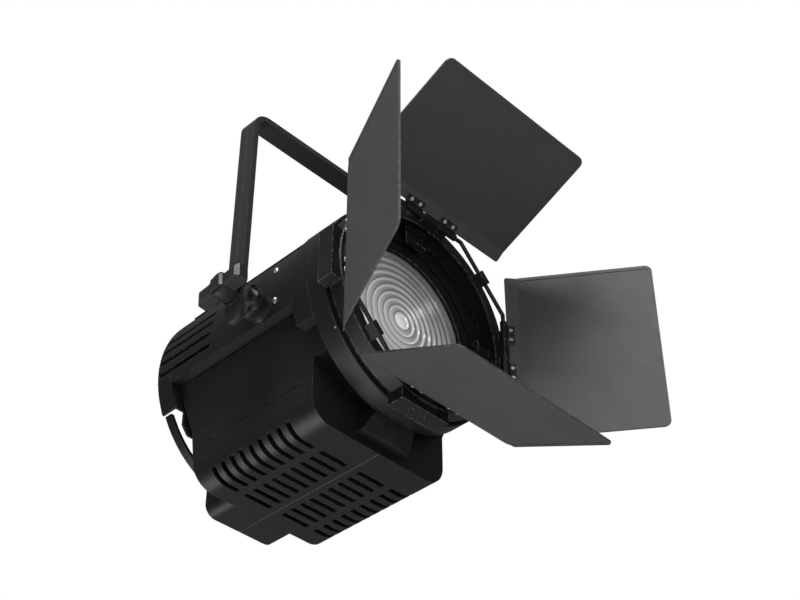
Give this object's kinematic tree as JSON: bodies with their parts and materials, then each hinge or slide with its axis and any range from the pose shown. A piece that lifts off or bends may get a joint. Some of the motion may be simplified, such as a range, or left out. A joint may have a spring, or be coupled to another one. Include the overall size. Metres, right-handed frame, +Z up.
{
  "type": "fresnel spotlight",
  "caption": "Studio Fresnel spotlight: a drum housing with a vented belly, tilting in a strap yoke, with a stepped lens and a rotating four-leaf barn door.",
  "frame": {"origin": "centre of the hanging hole, on the top face of the yoke's bar", "axes": "+Z up along the hanging hole, -Y the way the light leaves, X along the tilt pivots"},
  "size_m": [0.4962, 0.5261, 0.5231],
  "materials": {
    "yoke_paint": "satin black powder coat",
    "black_paint": "fine-textured black powder coat",
    "black_ring": "matte black enamel",
    "leaf_paint": "matte black heat-resistant paint on sheet steel",
    "zinc_steel": "zinc-plated steel",
    "knob_plastic": "moulded black nylon",
    "lens_glass": "pressed borosilicate",
    "raw_aluminium": "black anodised",
    "brass": "turned",
    "circuit_board": "solder-masked laminate",
    "module_case": "black moulded case"
  },
  "bodies": {
    "yoke": {"yoke_strap": "yoke_paint", "yoke_friction_discs": "zinc_steel"},
    "head": {"upper_housing": "black_paint", "front_collar": "black_paint", "rear_band": "black_paint", "rear_hoop": "black_paint", "left_casting": "black_paint", "right_casting": "black_paint", "bottom_lug": "black_paint", "front_ring": "black_paint", "rear_panel": "black_paint", "pivot_bosses": "black_paint", "safety_eye": "black_paint", "lens_bezel": "black_ring", "lens_retainer": "black_ring", "side_screws": "zinc_steel", "retaining_screws": "zinc_steel", "pivot_studs": "zinc_steel", "pivot_nut": "zinc_steel", "guide_rails": "zinc_steel", "switch_body": "knob_plastic", "fan_frame": "knob_plastic", "power_inlet": "knob_plastic", "data_sockets": "knob_plastic", "fresnel_lens": "lens_glass", "front_bulkhead": "raw_aluminium", "rear_bulkhead": "raw_aluminium", "supply_posts": "raw_aluminium", "control_board": "circuit_board", "display_board": "circuit_board", "power_supply": "module_case"},
    "tilt_knob": {"tilt_knob": "knob_plastic"},
    "focus_spindle": {"drive_screw": "zinc_steel", "focus_knob": "knob_plastic"},
    "carriage": {"carriage_plate": "raw_aluminium", "carriage_bushes": "brass", "drive_nut": "brass", "led_module": "circuit_board", "light_cone": "raw_aluminium", "heat_sink": "raw_aluminium"},
    "fan": {"fan_rotor": "knob_plastic"},
    "button_1": {"button_1": "knob_plastic"},
    "button_2": {"button_2": "knob_plastic"},
    "button_3": {"button_3": "knob_plastic"},
    "encoder": {"encoder_knob": "knob_plastic"},
    "rocker": {"power_rocker": "knob_plastic"},
    "barndoor": {"barndoor_ring": "black_ring", "hinge_brackets": "black_ring", "bracket_screws": "black_ring", "hinge_rod": "black_ring", "corner_blocks": "black_ring", "gel_clips": "black_ring"},
    "leaf_left": {"leaf_left": "leaf_paint", "clips_left": "black_ring"},
    "leaf_top": {"leaf_top": "leaf_paint", "clips_top": "black_ring"},
    "leaf_right": {"leaf_right": "leaf_paint", "clips_right": "black_ring"},
    "leaf_bottom": {"leaf_bottom": "leaf_paint", "clips_bottom": "black_ring"}
  },
  "joints": [
    {"name": "head_tilt", "type": "hinge", "parent": "yoke", "child": "head", "pos_m": [0, 0, -0.311], "axis": [-1, 0, 0], "range_deg": [-90, 35]},
    {"name": "tilt_knob_turn", "type": "hinge", "parent": "head", "child": "tilt_knob", "pos_m": [-0.21, 0, -0.311], "axis": [-1, 0, 0], "range_deg": [0, 360]},
    {"name": "carriage_slide", "type": "slide", "parent": "head", "child": "carriage", "axis": [0, 1, 0], "range_m": [-0.05, 0.04]},
    {"name": "focus_turn", "type": "hinge", "parent": "head", "child": "focus_spindle", "pos_m": [0.062, 0.18, -0.369], "axis": [0, 1, 0], "range_deg": [-965, 1205]},
    {"name": "fan_spin", "type": "hinge", "parent": "head", "child": "fan", "pos_m": [0, 0.139, -0.279], "axis": [0, 1, 0], "continuous": true},
    {"name": "button_1_press", "type": "slide", "parent": "head", "child": "button_1", "axis": [0, -1, 0], "range_m": [0, 0.002], "stiffness_N_per_m": 500},
    {"name": "button_2_press", "type": "slide", "parent": "head", "child": "button_2", "axis": [0, -1, 0], "range_m": [0, 0.002], "stiffness_N_per_m": 500},
    {"name": "button_3_press", "type": "slide", "parent": "head", "child": "button_3", "axis": [0, -1, 0], "range_m": [0, 0.002], "stiffness_N_per_m": 500},
    {"name": "encoder_turn", "type": "hinge", "parent": "head", "child": "encoder", "pos_m": [0.03, 0.184, -0.313], "axis": [0, 1, 0], "continuous": true},
    {"name": "rocker_tip", "type": "hinge", "parent": "head", "child": "rocker", "pos_m": [0.034, 0.19, -0.411], "axis": [0, 0, 1], "range_deg": [0, 20]},
    {"name": "barndoor_turn", "type": "hinge", "parent": "head", "child": "barndoor", "pos_m": [0, -0.123, -0.299], "axis": [0, 1, 0], "continuous": true},
    {"name": "leaf_left_fold", "type": "hinge", "parent": "barndoor", "child": "leaf_left", "pos_m": [-0.135, -0.1495, -0.299], "axis": [0, 0, -1], "range_deg": [-111.2, 49.8]},
    {"name": "leaf_right_fold", "type": "hinge", "parent": "barndoor", "child": "leaf_right", "pos_m": [0.135, -0.1495, -0.299], "axis": [0, 0, 1], "range_deg": [-110.6, 39.4]},
    {"name": "leaf_top_fold", "type": "hinge", "parent": "barndoor", "child": "leaf_top", "pos_m": [0, -0.1495, -0.164], "axis": [1, 0, 0], "range_deg": [-50, 102]},
    {"name": "leaf_bottom_fold", "type": "hinge", "parent": "barndoor", "child": "leaf_bottom", "pos_m": [0, -0.1495, -0.434], "axis": [-1, 0, 0], "range_deg": [-50.5, 110.5]}
  ],
  "couplings": [
    {"joint": "focus_turn", "follows": "carriage_slide", "rad_per_m": -418.88}
  ]
}
